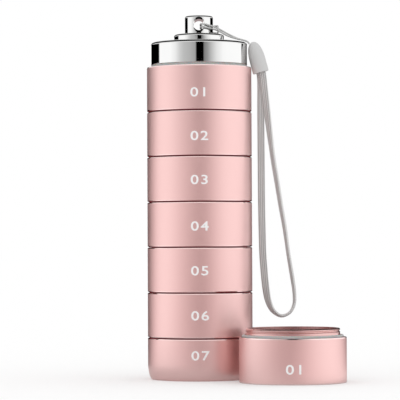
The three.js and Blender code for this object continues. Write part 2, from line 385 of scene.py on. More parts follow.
class Shader:
    """A node material with one Principled surface."""

    def __init__(self, name, **values):
        self.material = bpy.data.materials.new(name)
        self.material.use_nodes = True
        self.nodes = self.material.node_tree.nodes
        self.links = self.material.node_tree.links
        self.surface = self.nodes["Principled BSDF"]
        for key, value in values.items():
            self.surface.inputs[key.replace("_", " ")].default_value = value
        self.coordinates = self.nodes.new("ShaderNodeTexCoord")

    def noise(self, scale, detail=2.0, roughness=0.5, stretch=(1, 1, 1)):
        """Noise in the piece's own space, finer along an axis by its stretch."""
        mapping = self.nodes.new("ShaderNodeMapping")
        mapping.inputs["Scale"].default_value = stretch
        self.links.new(self.coordinates.outputs["Object"], mapping.inputs["Vector"])
        noise = self.nodes.new("ShaderNodeTexNoise")
        noise.inputs["Scale"].default_value = scale
        noise.inputs["Detail"].default_value = detail
        noise.inputs["Roughness"].default_value = roughness
        self.links.new(mapping.outputs["Vector"], noise.inputs["Vector"])
        return noise.outputs["Fac"]

    def spread(self, value, low, high, from_low=0.3, from_high=0.7):
        """The value carried from its own range to the one from low to high."""
        span = self.nodes.new("ShaderNodeMapRange")
        span.inputs["From Min"].default_value = from_low
        span.inputs["From Max"].default_value = from_high
        span.inputs["To Min"].default_value = low
        span.inputs["To Max"].default_value = high
        self.links.new(value, span.inputs["Value"])
        return span.outputs["Result"]

    def between(self, value, first, second):
        """A colour between two, by the value."""
        ramp = self.nodes.new("ShaderNodeValToRGB")
        ramp.color_ramp.elements[0].color = (*first, 1)
        ramp.color_ramp.elements[1].color = (*second, 1)
        self.links.new(value, ramp.inputs["Fac"])
        return ramp.outputs["Color"]

    def math(self, operation, *values):
        return math_node(self.material.node_tree, operation, *values)

    def bump(self, height, distance):
        """A surface direction bumped by a height, up to a distance in metres."""
        bump = self.nodes.new("ShaderNodeBump")
        bump.inputs["Distance"].default_value = distance
        self.links.new(height, bump.inputs["Height"])
        return bump.outputs["Normal"]

    def set(self, key, value):
        self.links.new(value, self.surface.inputs[key])


def anodised_pink():
    """Satin bead-blasted aluminium, dyed pink: a fine grain and faint cloudiness."""
    look = Shader("anodised_pink", Metallic=0.9)
    grain = look.noise(9000, 3)
    cloud = look.noise(90, 2)
    look.set("Base Color", look.between(cloud, (0.90, 0.615, 0.595), (0.93, 0.64, 0.62)))
    mixed = look.math("ADD", look.math("MULTIPLY", grain, 0.5), look.math("MULTIPLY", cloud, 0.5))
    look.set("Roughness", look.spread(mixed, 0.35, 0.41))
    look.set("Normal", look.bump(grain, 0.0000035))
    return look.material


def cut_pink():
    """The bright diamond-cut edges of the cups."""
    look = Shader("cut_pink", Metallic=1.0)
    rings = look.noise(1, 1, stretch=(30, 30, 26000))
    look.set("Base Color", look.between(rings, (0.95, 0.73, 0.71), (0.98, 0.79, 0.77)))
    look.set("Roughness", look.spread(rings, 0.08, 0.16))
    return look.material


def turned_pink():
    """Machined and anodised inner surfaces, with fine turning marks."""
    look = Shader("turned_pink", Metallic=1.0)
    marks = look.noise(1, 2, stretch=(40, 40, 14000))
    look.set("Base Color", look.between(marks, (0.72, 0.47, 0.45), (0.80, 0.55, 0.53)))
    look.set("Roughness", look.spread(marks, 0.16, 0.28))
    look.set("Normal", look.bump(marks, 0.000004))
    return look.material


def painted_shade_pink():
    """Painted shade: the matte faces inside the seams and round the seals are coloured dark rose for the
    shade that falls in these recesses.
    """
    look = Shader("painted_shade_pink", Specular_IOR_Level=0.0)
    grain = look.noise(4000, 2)
    look.set("Base Color", look.between(grain, (0.28, 0.045, 0.05), (0.34, 0.062, 0.067)))
    look.set("Roughness", look.spread(grain, 0.42, 0.58))
    return look.material


def mirror_chrome():
    """Polished chrome with a faint haze."""
    look = Shader("mirror_chrome", Metallic=1.0)
    haze = look.noise(260, 3)
    look.set("Base Color", look.between(haze, (0.755, 0.757, 0.752), (0.775, 0.777, 0.772)))
    look.set("Roughness", look.spread(haze, 0.01, 0.03))
    return look.material


def turned_steel():
    """Turned steel of the screw and washer."""
    look = Shader("turned_steel", Metallic=1.0)
    marks = look.noise(1, 2, stretch=(900, 900, 9000))
    look.set("Base Color", look.between(marks, (0.55, 0.56, 0.57), (0.66, 0.66, 0.65)))
    look.set("Roughness", look.spread(marks, 0.24, 0.4))
    return look.material


def white_silicone():
    """Soft white rubber of the seal rings."""
    look = Shader("white_silicone", IOR=1.42, Subsurface_Weight=0.35, Subsurface_Scale=0.0008)
    cloud = look.noise(700, 2)
    look.set("Base Color", look.between(cloud, (0.50, 0.49, 0.48), (0.58, 0.57, 0.56)))
    look.set("Roughness", look.spread(cloud, 0.34, 0.48))
    look.set("Normal", look.bump(look.noise(5000, 2), 0.000004))
    return look.material


def soft_grey():
    """Matte elastomer of the lanyard's sleeve."""
    look = Shader("soft_grey", Specular_IOR_Level=0.35)
    cloud = look.noise(420, 3)
    grain = look.noise(7000, 2)
    look.set("Base Color", look.between(cloud, (0.63, 0.63, 0.625), (0.68, 0.68, 0.675)))
    look.set("Roughness", look.spread(grain, 0.5, 0.7))
    look.set("Normal", look.bump(grain, 0.00001))
    return look.material


def grey_thread():
    """Twisted thread of the string, with fine fibres."""
    look = Shader("grey_thread", Sheen_Weight=0.25)
    fibres = look.noise(1, 3, 0.7, stretch=(9000, 9000, 9000))
    look.set("Base Color", look.between(fibres, (0.50, 0.50, 0.495), (0.69, 0.69, 0.68)))
    look.set("Roughness", look.spread(fibres, 0.65, 0.85))
    look.set("Normal", look.bump(fibres, 0.00003))
    return look.material


def grey_webbing():
    """Woven polyester: ribs along the strap, and picks that cross neighbouring ribs in turn. The low parts
    of the weave are coloured darker as painted shade, over a random fibre tone.
    """
    look = Shader("grey_webbing", Sheen_Weight=0.2)
    parts = look.nodes.new("ShaderNodeSeparateXYZ")
    look.links.new(look.coordinates.outputs["UV"], parts.inputs["Vector"])
    across = look.math("MULTIPLY", parts.outputs["X"], math.pi * STRAP_RIBS)
    rib = look.math("COSINE", across)
    side = look.math("SIGN", look.math("COSINE", look.math("MULTIPLY", across, 0.5)))
    picks = look.math("SINE", look.math("MULTIPLY", parts.outputs["Y"], 2 * math.pi / STRAP_PICK))
    crossing = look.math("MULTIPLY", look.math("MULTIPLY", picks, side), 0.4)
    weave = look.math("ADD", look.math("MULTIPLY", rib, 0.6), crossing)
    fibres = look.noise(1, 4, 0.6, stretch=(3200, 3200, 3200))
    height = look.math("ADD", look.spread(weave, 0, 0.55, -1, 1), look.math("MULTIPLY", fibres, 0.45))
    # Painted shade: the colour follows the weave's height, darker in its valleys where shade falls between
    # the yarns. The fibre noise in it is a random tone.
    shade = look.spread(height, 0, 1, 0.25, 0.75)
    look.set("Base Color", look.between(shade, (0.28, 0.28, 0.28), (0.86, 0.86, 0.85)))
    look.set("Roughness", look.spread(fibres, 0.7, 0.9))
    look.set("Normal", look.bump(height, 0.00006))
    return look.material


def number_ink():
    """Matte white ink."""
    look = Shader("number_ink")
    grain = look.noise(6000, 2)
    look.set("Base Color", look.between(grain, (0.94, 0.935, 0.93), (0.98, 0.975, 0.97)))
    look.set("Roughness", look.spread(grain, 0.42, 0.58))
    return look.material


# Camera


def add_camera():
    """The camera of the photograph: a long lens in front of the tower, held level at its lower half."""
    data = bpy.data.cameras.new("photo_camera")
    data.sensor_width = CAMERA_SENSOR
    data.lens = FOCAL_PIXELS / PHOTO_PIXELS * CAMERA_SENSOR
    data.clip_start, data.clip_end = CAMERA_CLIP
    camera = linked("photo_camera", data)
    aside = (PHOTO_PIXELS / 2 - AXIS_PIXEL) / FOCAL_PIXELS * CAMERA_DISTANCE
    rise = math.atan((HORIZON_PIXEL - PHOTO_PIXELS / 2) / FOCAL_PIXELS)
    camera.location = (aside, -CAMERA_DISTANCE, CAMERA_HEIGHT)
    turn = Matrix.Rotation(math.pi / 2 + rise, 4, "X") @ Matrix.Rotation(CAMERA_ROLL, 4, "Z")
    camera.rotation_euler = turn.to_euler()
    bpy.context.scene.camera = camera


# Lanyard


STRING_DIAMETER = 0.62
STRING_STEP = 0.12
STRING_PLIES = 3
STRING_LAY = 2.0
STRING_GROOVE = 0.1
STRING_SIDES = 18
STRAP_WIDTH = 2.5
STRAP_THICKNESS = 0.8
STRAP_STEP = 0.5
STRAP_RIBS = 4
STRAP_RIB_DEPTH = 0.1
STRAP_PICK = 0.9
STRAP_SIDES = 48
STRAP_ROUND_SHARE = 0.5

# The string's route, in millimetres, as in the model's source
STRING_ROUTE = [
    (17.5, -1.3, 116.4), (17.0, -1.3, 117.08), (16.2, -1.3, 117.5), (13.15, -1.34, 118.48),
    (10.05, -1.54, 119.95), (7.3, -2.05, 121.42), (5.1, -3.2, 122.3), (3.1, -4.9, 122.85),
    (2.1, -5.35, 123.05), (1.15, -4.95, 123.15), (0.65, -3.2, 123.2), (0.6, 0, 123.2),
    (0.65, 3.2, 123.2), (1.15, 4.95, 123.2), (2.1, 5.4, 123.15), (4.3, 4.0, 123.05),
    (5.85, 0.9, 122.85), (6.55, -2.3, 122.6), (6.6, -3.15, 122.2), (6.6, -3.5, 121.4),
    (6.6, -3.15, 120.6), (6.55, -2.3, 120.24), (5.85, 0.9, 120.4), (4.3, 4.0, 121.0),
    (2.1, 5.4, 121.9), (1.15, 4.95, 122.12), (0.65, 3.2, 122.2), (0.6, 0, 122.2),
    (0.65, -3.2, 122.2), (1.15, -4.95, 122.12), (2.1, -5.35, 121.97), (3.1, -4.9, 121.8),
    (5.1, -3.2, 121.48), (7.3, -2.15, 120.7), (10.05, -1.76, 119.22), (13.15, -1.96, 118.2),
    (16.2, -2.0, 117.5), (17.0, -2.0, 117.08), (17.5, -2.0, 116.4),
]

# The strap's route, in millimetres, as in the model's source
STRAP_ROUTE = [
    (20.57, -1.1, 108.36), (21.12, -1.1, 106.34), (21.4, -1.1, 104.3), (21.45, -1.1, 101),
    (21.4, -1.1, 95.5), (21.4, -1.1, 86.6), (21.45, -1.1, 74), (21.5, -1.1, 62.2),
    (21.65, -1.1, 52.1), (21.85, -1.15, 43.6), (22.16, -1.2, 38.9), (22.54, -1.25, 34.3),
    (23.1, -1.35, 29.8), (23.8, -1.45, 26.6), (25.3, -1.55, 23.6), (28.1, -1.7, 21.8),
    (31.1, -1.85, 22.9), (32.6, -1.95, 25.8), (32.75, -2, 29.4), (32.15, -2.05, 34.3),
    (31.4, -2.1, 38.9), (30.66, -2.15, 43.6), (29.5, -2.2, 52.1), (28.15, -2.2, 60.1),
    (26.9, -2.2, 68.1), (25.6, -2.2, 76.1), (24.35, -2.2, 86), (23.25, -2.2, 95.5),
    (22.6, -2.2, 101), (22.25, -2.2, 104.3), (21.89, -2.2, 106.54), (21.34, -2.2, 108.57),
]

# How far the strap is turned about its own line, in degrees, against the share of its length
STRAP_TWIST_SHARES = [0, 0.40, 0.44, 0.50, 0.54, 0.587, 0.645, 0.73, 0.775, 0.838, 0.883, 0.927, 0.96, 1]
STRAP_TWIST_DEGREES = [0, 8, 25, 85, 110, 118, 116, 124, 127, 128, 143, 158, 172, 180]

# The sleeve: its mouth's place and tilt as in the model's source, and its blunt nose, in millimetres
SLEEVE_MOUTH = (21.5, -1.65, 106.44)
SLEEVE_TILT = math.radians(-15)
SLEEVE_RADIUS = 2.8
SLEEVE_FLAT_SHARE = 0.8
SLEEVE_STRAIGHT = 4.0
SLEEVE_NOSE = 7.0
SLEEVE_BLUNTNESS = 2.25
SLEEVE_WALL = 0.5
SLEEVE_POCKET = 2.5
SLEEVE_LIP = 0.25
SLEEVE_STEPS = 28


def string_section(share, along):
    """A round section with one lobe for each ply, turned as the plies twist."""
    angles = np.arange(STRING_SIDES) * (2 * math.pi / STRING_SIDES)
    lobes = np.cos(STRING_PLIES * (angles - 2 * math.pi * along / (STRING_LAY * MM)))
    radius = STRING_DIAMETER / 2 * MM * (1 - STRING_GROOVE + STRING_GROOVE * lobes)
    return np.stack([radius * np.cos(angles), radius * np.sin(angles)], 1)


def strap_across(angles):
    """From -1 at one edge of the strap to 1 at the other."""
    return np.sign(np.cos(angles)) * np.abs(np.cos(angles)) ** STRAP_ROUND_SHARE


def strap_section(share, along):
    """A flat band with rounded edges and fine ribs along it, turned by the twist."""
    angles = np.arange(STRAP_SIDES) * (2 * math.pi / STRAP_SIDES)
    across = strap_across(angles)
    up = np.sign(np.sin(angles)) * np.abs(np.sin(angles)) ** STRAP_ROUND_SHARE
    rib = STRAP_RIB_DEPTH * np.cos(across * math.pi * STRAP_RIBS)
    wide = across * STRAP_WIDTH / 2
    thick = up * (STRAP_THICKNESS / 2 + rib)
    turn = math.radians(float(np.interp(share, STRAP_TWIST_SHARES, STRAP_TWIST_DEGREES)))
    side = wide * math.cos(turn) - thick * math.sin(turn)
    rise = wide * math.sin(turn) + thick * math.cos(turn)
    return MM * np.stack([side, rise], 1)


def add_sleeve(material):
    """The soft sleeve: a blunt round nose at the string, and a pocket round the strap's ends."""
    pocket = SLEEVE_RADIUS - SLEEVE_WALL
    rows = rounded([
        (0, SLEEVE_POCKET),
        (pocket, SLEEVE_POCKET, SLEEVE_LIP),
        (pocket, 0, SLEEVE_LIP),
        (SLEEVE_RADIUS, 0, SLEEVE_LIP),
        (SLEEVE_RADIUS, SLEEVE_STRAIGHT),
    ])
    for k in range(1, SLEEVE_STEPS):
        angle = math.pi / 2 * k / SLEEVE_STEPS
        reach = math.cos(angle) ** (2 / SLEEVE_BLUNTNESS)
        rise = math.sin(angle) ** (2 / SLEEVE_BLUNTNESS)
        rows.append((SLEEVE_RADIUS * reach, SLEEVE_STRAIGHT + SLEEVE_NOSE * rise, 0))
    rows.append((0, SLEEVE_STRAIGHT + SLEEVE_NOSE, 0))
    sleeve = revolved("end_sleeve", rows, [material], segments=SLEEVE_SEGMENTS, squeeze=SLEEVE_FLAT_SHARE)
    place = Matrix.Translation(Vector(SLEEVE_MOUTH) * MM) @ Matrix.Rotation(SLEEVE_TILT, 4, "Y")
    sleeve.data.transform(place)
    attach(sleeve, "cap")
    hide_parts("lanyard_ferrule")
    return sleeve


def add_lanyard(materials):
    """The string through the eye, the wrist strap and the sleeve that holds their ends."""
    string_line, string_length = spaced(spline(STRING_ROUTE) * MM, STRING_STEP * MM)
    turns = [k / STRING_SIDES for k in range(STRING_SIDES)]
    string = swept("string", string_line, string_section, [materials["thread"]], (0, 1, 0), turns)
    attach(string, "cap")
    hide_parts("lanyard_string")
    strap_line, strap_length = spaced(spline(STRAP_ROUTE) * MM, STRAP_STEP * MM)
    across = strap_across(np.arange(STRAP_SIDES) * (2 * math.pi / STRAP_SIDES))
    strap = swept("wrist_strap", strap_line, strap_section, [materials["webbing"]], (1, 0, 0), across)
    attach(strap, "cap")
    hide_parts("lanyard_strap")
    sleeve = add_sleeve(materials["soft"])


# Cups and seals


def neck_rows(shoulder, floor_top, phase, slope):
    """From the outer bevel over the shoulder, recess and threaded neck to the middle of the floor.

    The shoulder rises inward by the slope, so that the seam above it closes.
    """
    widening = SEAM_WIDENING if slope else 0
    # Between stacked cups the outer bevel also takes the painted shade, for the dark line of the seam.
    bevel_slot = PAINTED_SHADE if slope else TURNED
    recess = shoulder - SEAL_RECESS
    top = shoulder + NECK_HEIGHT
    thread_start = shoulder + THREAD_START
    thread_end = top - NECK_BEVEL
    # The faces inside the seam and round the seal's recess take the painted shade.
    outer = rounded([
        (CUP_RADIUS, shoulder - WALL_LEAD),
        (CUP_RADIUS, shoulder - EDGE_BEVEL, EDGE_ROUND, CUT),
        (BEVEL_RADIUS, shoulder - widening, EDGE_ROUND, bevel_slot),
        (LIP_RADIUS, shoulder + slope, EDGE_ROUND, PAINTED_SHADE),
        (LIP_RADIUS, recess, SEAL_RECESS_ROUND, PAINTED_SHADE),
        (NECK_RADIUS, recess, SEAL_RECESS_ROUND, TURNED),
        (NECK_RADIUS, thread_start - NECK_LEAD),
    ])[1:-1]
    thread = threaded(THREAD_ROOT, NECK_RADIUS, thread_start, thread_end, phase, TURNED, NECK_RADIUS)
    inner = rounded([
        (NECK_RADIUS, thread_end - NECK_BEVEL),
        (NECK_RADIUS, thread_end, EDGE_ROUND, CUT),
        (NECK_RADIUS - NECK_BEVEL, top, EDGE_ROUND, TURNED),
        (BORE_RADIUS, top, EDGE_ROUND, TURNED),
        (BORE_RADIUS, floor_top, BORE_ROUND, TURNED),
        (0, floor_top),
    ])[2:]
    return outer + thread + inner


def cup_rows(phase, height, slope_below, slope_above):
    """A cup with a threaded socket below. Heights are from its foot."""
    widening = SEAM_WIDENING if slope_below else 0
    socket_phase = phase + THREAD_PITCH / 2
    under = rounded([
        (0, SOCKET_DEPTH, 0, TURNED),
        (SOCKET_RADIUS, SOCKET_DEPTH, SOCKET_ROUND, TURNED),
        (SOCKET_RADIUS, LIP_HEIGHT),
    ])[:-1]
    thread_top = SOCKET_DEPTH - THREAD_RUN_OUT
    thread_foot = LIP_HEIGHT + THREAD_RUN_IN
    socket = threaded(
        SOCKET_RADIUS, THREAD_SOCKET_CREST, thread_top, thread_foot, socket_phase, TURNED, SOCKET_RADIUS,
    )
    # The lip's inner face and underside take the painted shade, for the shade inside the seam.
    foot = rounded([
        (SOCKET_RADIUS, LIP_HEIGHT + SOCKET_LEAD, 0, TURNED),
        (SOCKET_RADIUS, LIP_HEIGHT, EDGE_ROUND, PAINTED_SHADE),
        (LIP_RADIUS, LIP_HEIGHT, EDGE_ROUND, PAINTED_SHADE),
        (LIP_RADIUS, -slope_below, EDGE_ROUND, PAINTED_SHADE),
        (BEVEL_RADIUS, widening, EDGE_ROUND, CUT),
        (CUP_RADIUS, EDGE_BEVEL, EDGE_ROUND, PINK),
        (CUP_RADIUS, WALL_LEAD),
    ])[1:-1]
    return under + socket + foot + neck_rows(height, SOCKET_DEPTH + FLOOR_THICKNESS, phase, slope_above)


def base_rows(phase, height, slope_above):
    """The lowest cup: a flat bottom and an elliptical foot."""
    flat = CUP_RADIUS - BASE_ROUND_IN
    foot = [(0, 0, TURNED), (flat - BASE_RIM, 0, PINK)]
    for k in range(BASE_ROUND_STEPS + 1):
        angle = -math.pi / 2 + math.pi / 2 * k / BASE_ROUND_STEPS
        rise = BASE_ROUND_UP + BASE_ROUND_UP * math.sin(angle)
        foot.append((flat + BASE_ROUND_IN * math.cos(angle), rise, PINK))
    return foot + neck_rows(height, BASE_FLOOR, phase, slope_above)


def add_seal(node, body, material, squeezed=True):
    """A silicone ring. One that is screwed down is squeezed in under the foot of the piece above it."""
    low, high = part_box(node)
    centre = (low + high) / 2
    inner = SEAL_RADIUS - SEAL_WIDTH
    foot = SEAL_CLEARANCE
    top = (high.z - low.z) / MM - SEAL_CLEARANCE
    if squeezed:
        corners = [
            (inner, foot, SEAL_INNER_ROUND),
            (SEAL_RADIUS, foot, SEAL_HELD_ROUND),
            (SEAL_RADIUS, SEAL_RECESS - SEAL_STEP_BELOW, SEAL_INNER_ROUND),
            (SEAL_SQUEEZED, SEAL_RECESS + SEAL_STEP_ABOVE, SEAL_SQUEEZED_ROUND),
            (SEAL_SQUEEZED, top, SEAL_SQUEEZED_ROUND),
            (inner, top, SEAL_SQUEEZED_ROUND),
            (inner, foot),
        ]
    else:
        corners = [
            (inner, foot, SEAL_INNER_ROUND),
            (SEAL_RADIUS, foot, SEAL_FREE_ROUND),
            (SEAL_RADIUS, top, SEAL_FREE_ROUND),
            (inner, top, SEAL_INNER_ROUND),
            (inner, foot),
        ]
    place = (centre.x, centre.y, low.z)
    ring = revolved(node + "_ring", rounded(corners)[:-1], [material], place, closed=True)
    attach(ring, body)
    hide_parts(node)


def add_number(text, body, centre, height, material):
    """A printed number on the front of a cup, wrapped on the wall."""
    curve = bpy.data.curves.new("number_text", "FONT")
    curve.body = text
    curve.size = NUMBER_HEIGHT / FONT_CAP_SHARE
    curve.align_x = "CENTER"
    curve.space_character = NUMBER_SPACING
    curve.resolution_u = NUMBER_CURVE_STEPS
    curve.offset = NUMBER_BOLD
    curve.extrude = (NUMBER_DEPTH + NUMBER_SINK) / 2
    source = linked("number_text", curve)
    bpy.context.view_layer.update()
    mesh = bpy.data.meshes.new_from_object(source)
    bpy.data.objects.remove(source)
    bpy.data.curves.remove(curve)
    work = bmesh.new()
    work.from_mesh(mesh)
    bmesh.ops.remove_doubles(work, verts=work.verts, dist=NUMBER_WELD)
    bmesh.ops.scale(work, vec=(NUMBER_WIDTH_SHARE, 1, 1), verts=work.verts)
    reach = max(abs(vertex.co.x) for vertex in work.verts)
    cut = -reach
    while cut < reach:
        cut += NUMBER_STRIP
        parts = work.verts[:] + work.edges[:] + work.faces[:]
        bmesh.ops.bisect_plane(work, geom=parts, plane_co=(cut, 0, 0), plane_no=(1, 0, 0))
    for vertex in work.verts:
        angle = vertex.co.x / CUP_RADIUS
        radius = CUP_RADIUS + (NUMBER_DEPTH if vertex.co.z > 0 else -NUMBER_SINK)
        rise = vertex.co.y - NUMBER_HEIGHT / 2
        vertex.co = Vector((radius * math.sin(angle), -radius * math.cos(angle), rise)) * MM
        vertex.co += Vector((centre.x, centre.y, height))
    bmesh.ops.recalc_face_normals(work, faces=work.faces)
    work.to_mesh(mesh)
    work.free()
    made = linked("number_" + body, mesh)
    mesh.materials.clear()
    mesh.materials.append(material)
    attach(made, body)


def add_cup(number, node, body, materials):
    """A cup with its number. The faces at a seam of the tower slope towards each other to close it."""
    low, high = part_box(node)
    centre = (low + high) / 2
    wall = (high.z - low.z) / MM - NECK_HEIGHT
    phase = -low.z / MM
    closing = (SEAM_GAP - SEAM_CLEARANCE) / 2
    slope_below = 0 if node == "loose_cup" else closing
    slope_above = 0 if node in ("cup_1", "loose_cup") else closing
    if number == CUP_COUNT:
        rows = base_rows(phase, wall, slope_above)
    else:
        rows = cup_rows(phase, wall, slope_below, slope_above)
    skins = [materials["pink"], materials["cut"], materials["turned"], materials["shade_paint"]]
    made = revolved(node + "_body", rows, skins, (centre.x, centre.y, low.z))
    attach(made, body)
    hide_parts(node)
    rise = LOOSE_NUMBER_RISE if node == "loose_cup" else NUMBER_RISES[number]
    add_number(f"{number:02d}", body, centre, low.z + (wall / 2 + rise) * MM, materials["ink"])


# Cap


def add_turned_part(name, node, corners, material):
    """A chromed ring turned from an outline, in millimetres above the node's foot."""
    rows = rounded(corners, CHROME_STEPS)[:-1]
    made = revolved(name, rows, [material], (0, 0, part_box(node)[0].z), closed=True)
    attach(made, "cap")
    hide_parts(node)


def add_knob(material):
    """The knob with its stem and screw bore, and the flared eye cut across it."""
    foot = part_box("cap_collar")[1].z
    height = (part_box("eye_knob")[1].z - foot) / MM
    rows = rounded([
        (0, KNOB_BORE_TOP), (KNOB_BORE_RADIUS, KNOB_BORE_TOP), (KNOB_BORE_RADIUS, KNOB_STEM_FOOT),
        (KNOB_STEM_RADIUS, KNOB_STEM_FOOT), (KNOB_STEM_RADIUS, 0), (KNOB_RADIUS, 0, KNOB_FOOT_ROUND),
        (KNOB_RADIUS, height, KNOB_TOP_ROUND), (0, height),
    ], CHROME_STEPS)
    knob = revolved("knob_body", rows, [material], (0, 0, foot), segments=KNOB_SEGMENTS)
    flare_start = KNOB_RADIUS - EYE_FLARE
    cut_end = KNOB_RADIUS + EYE_OVERRUN
    wide = EYE_RADIUS + (cut_end - flare_start) * EYE_FLARE_SHARE
    eye = revolved("eye_cut", [
        (0, -cut_end, 0), (wide, -cut_end, 0), (EYE_RADIUS, -flare_start, 0),
        (EYE_RADIUS, flare_start, 0), (wide, cut_end, 0), (0, cut_end, 0),
    ], [material], segments=KNOB_SEGMENTS)
    place = Matrix.Translation((0, 0, foot + EYE_HEIGHT * MM)) @ Matrix.Rotation(math.pi / 2, 4, "X")
    eye.data.transform(place)
    cut = knob.modifiers.new("eye", "BOOLEAN")
    cut.operation = "DIFFERENCE"
    cut.solver = "EXACT"
    cut.object = eye
    bpy.context.view_layer.update()
    bored = bpy.data.meshes.new_from_object(knob.evaluated_get(bpy.context.evaluated_depsgraph_get()))
    knob.modifiers.clear()
    knob.data = bored
    bored.polygons.foreach_set("use_smooth", np.ones(len(bored.polygons), bool))
    bored.set_sharp_from_angle(angle=SMOOTH_ANGLE)
    bpy.data.objects.remove(eye)
    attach(knob, "cap")
    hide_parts("eye_knob")


def add_cap(materials):
    """The cap, its collar and its knob, with steel for the screw and washer of the frame."""
    add_turned_part("cap_body", "cap_shell", [
        (CAP_BORE_RADIUS, CAP_CEILING, CHROME_ROUND), (CAP_ROOM_RADIUS, CAP_CEILING, CAP_CEILING_ROUND),
        (CAP_ROOM_RADIUS, CAP_SOCKET_DEPTH, CHROME_ROUND), (SOCKET_RADIUS, CAP_SOCKET_DEPTH, CHROME_ROUND),
        (SOCKET_RADIUS, 0, CHROME_ROUND), (CAP_RADIUS, 0, CAP_FOOT_ROUND),
        (CAP_RADIUS, CAP_HEIGHT, CAP_TOP_ROUND), (CAP_BORE_RADIUS, CAP_HEIGHT, CHROME_ROUND),
        (CAP_BORE_RADIUS, CAP_CEILING),
    ], materials["chrome"])
    add_turned_part("collar_body", "cap_collar", [
        (COLLAR_BORE_RADIUS, 0, CHROME_ROUND), (COLLAR_RADIUS, 0, COLLAR_FOOT_ROUND),
        (COLLAR_RADIUS, COLLAR_HEIGHT, COLLAR_TOP_ROUND), (COLLAR_BORE_RADIUS, COLLAR_HEIGHT, CHROME_ROUND),
        (COLLAR_BORE_RADIUS, 0),
    ], materials["chrome"])
    add_knob(materials["chrome"])
    for node in ("knob_screw", "knob_washer"):
        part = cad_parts[node]
        part.data.materials.clear()
        part.data.materials.append(materials["steel"])


# Studio


TENT_RADIUS = 0.45
TENT_FRONT_HEIGHT = 0.24
TENT_BACK_HEIGHT = 0.18
TENT_BACK_FROM = math.radians(117)
TENT_BACK_TO = math.radians(122)
TENT_RUG_RADIUS = 0.062
TENT_FOOT = 0.0005
TENT_SEGMENTS = 120
TENT_STRENGTH = 1.25
TENT_ROSE = 0.35
FLOOR_RADIUS = 6.0
FLOOR_SEGMENTS = 96
FLOOR_TONE = 0.82
FLOOR_GLOSSY_TONE = 0.5
FLOOR_GLOW = 0.18
LIGHT_STRENGTH = 1.0

# Brightness of the tent by direction, in degrees from the front, positive to the right
TONES_NEAR_FLOOR = [
    (-180, 0.0), (-146, 0.0), (-130, 0.22), (-116, 0.58), (-104, 0.84), (-92, 0.92), (-72, 0.88),
    (-57, 0.74), (-46, 0.62), (-36, 0.5), (-20, 0.38), (-8, 0.3), (8, 0.3), (20, 0.4), (30, 0.54),
    (42, 0.68), (58, 0.84), (70, 0.9), (84, 0.9), (100, 0.7), (116, 0.4), (130, 0.15), (142, 0.0),
    (180, 0.0),
]
TONES_FOR_CUPS = [
    (-180, 0.25), (-173, 0.25), (-169, 0.0), (-146, 0.0), (-130, 0.22), (-116, 0.58), (-104, 0.84),
    (-92, 0.92), (-72, 0.92), (-57, 0.84), (-46, 0.76), (-36, 0.67), (-20, 0.56), (-8, 0.46), (8, 0.44),
    (20, 0.54), (30, 0.66), (42, 0.82), (58, 0.91), (70, 0.92), (128, 0.92), (142, 0.55), (152, 0.0),
    (169, 0.0), (173, 0.25), (180, 0.25),
]
TONES_FOR_CAP = [
    (-180, 1.0), (-167, 1.0), (-163, 0.0), (-110.5, 0.0), (-107.5, 1.0), (-72, 1.0), (-57, 0.86),
    (-46, 0.64), (-36, 0.52), (-20, 0.45), (-8.5, 0.36), (-6, 0.0), (9.8, 0.0), (11.5, 0.2), (20, 0.32),
    (30, 0.55), (42, 0.79), (58, 0.97), (70, 1.0), (120, 1.0), (121.5, 0.0), (130.5, 0.0), (131.5, 1.0),
    (138, 1.0), (139.5, 0.4), (142.5, 0.35), (144, 0.03), (163, 0.06), (168, 0.8), (180, 0.8),
]
TONES_FOR_KNOB = [
    (-180, 0.0), (-107, 0.0), (-104, 1.0), (-72, 1.0), (-57, 0.86), (-46, 0.66), (-30, 0.5), (-21, 0.3),
    (-17, 0.0), (17, 0.0), (21, 0.6), (35, 0.85), (50, 1.0), (104, 1.0), (107, 0.0), (180, 0.0),
]
TONES_FOR_TOPS = [
    (-180, 0.0), (-150, 0.0), (-132, 0.3), (-116, 0.7), (-104, 0.95), (-57, 0.85), (-46, 0.66),
    (-36, 0.52), (-20, 0.45), (-10, 0.36), (-8, 0.0), (10, 0.0), (13, 0.3), (30, 0.55), (42, 0.79),
    (58, 0.95), (130, 0.95), (145, 0.5), (154, 0.0), (180, 0.0),
]

# The tent's bands: from which height to which each one fades in, and its tones
TENT_BANDS = [
    (0.005, 0.035, TONES_FOR_CUPS), (0.1336, 0.1344, TONES_FOR_CAP), (0.1564, 0.1572, TONES_FOR_KNOB),
    (0.1716, 0.1724, TONES_FOR_TOPS),
]

# Brightness of the sky that glossy surfaces reflect, by how far a mirror has to face up to show that part of
# the sky from the front: bright on upright faces, black on sloping ones and pale on flat ones
SKY_TONES = [(0.0, 1.0), (0.32, 1.0), (0.36, 0.0), (0.8, 0.0), (0.835, 0.75), (1.0, 0.75)]
SKY_LEAST = 0.0001


def set_tones(ramp, tones, rose=0):
    """Gives a colour ramp stops from (position, brightness) pairs in rising order.

    Rose is how much redder than grey the half tones are.
    """
    stops = ramp.color_ramp.elements
    while len(stops) > 1:
        stops.remove(stops[-1])
    for i, (position, tone) in enumerate(tones):
        stop = stops[0] if i == 0 else stops.new(1.0)
        stop.position = position
        stop.color = (tone * (1 + rose * (1 - tone)), tone, tone, 1)


